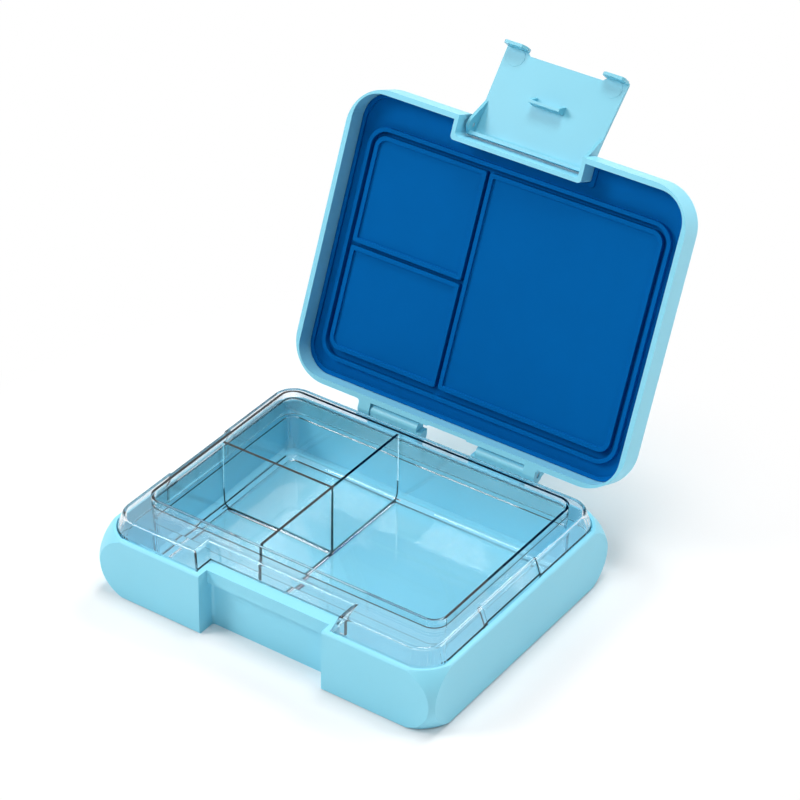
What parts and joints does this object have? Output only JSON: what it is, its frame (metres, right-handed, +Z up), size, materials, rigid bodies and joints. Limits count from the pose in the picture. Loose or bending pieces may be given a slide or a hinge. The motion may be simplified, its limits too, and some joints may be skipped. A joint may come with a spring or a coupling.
{
  "type": "bento lunch box",
  "caption": "Rectangular hinged lunch case with a fold-over front latch, a clear compartment tray and a silicone seal pad in the lid; modelled open.",
  "frame": {"origin": "centre of the base's underside", "axes": "+X to the right seen from the latch side, +Y from the latch towards the hinges, +Z up"},
  "size_m": [0.18, 0.2366, 0.1963],
  "materials": {
    "case": "satin moulded polypropylene, light blue",
    "latch": "satin moulded polypropylene, light blue",
    "seal": "matte moulded silicone, deep blue",
    "tray": "clear moulded copolyester, polished",
    "pins": "drawn stainless wire"
  },
  "bodies": {
    "base": {"base_shell": "case", "tray": "tray", "hinge_pin_left": "pins", "hinge_pin_right": "pins"},
    "lid": {"lid_shell": "case", "lid_seal": "seal", "latch_pin_left": "pins", "latch_pin_right": "pins"},
    "latch": {"latch": "latch"}
  },
  "joints": [
    {"name": "lid_hinge", "type": "hinge", "parent": "base", "child": "lid", "pos_m": [0, 0.0745, 0.0355], "axis": [1, 0, 0], "range_deg": [0, 112]},
    {"name": "latch_hinge", "type": "hinge", "parent": "lid", "child": "latch", "pos_m": [0, 0.13355, 0.16404], "axis": [1, 0, 0], "range_deg": [0, 111]}
  ]
}
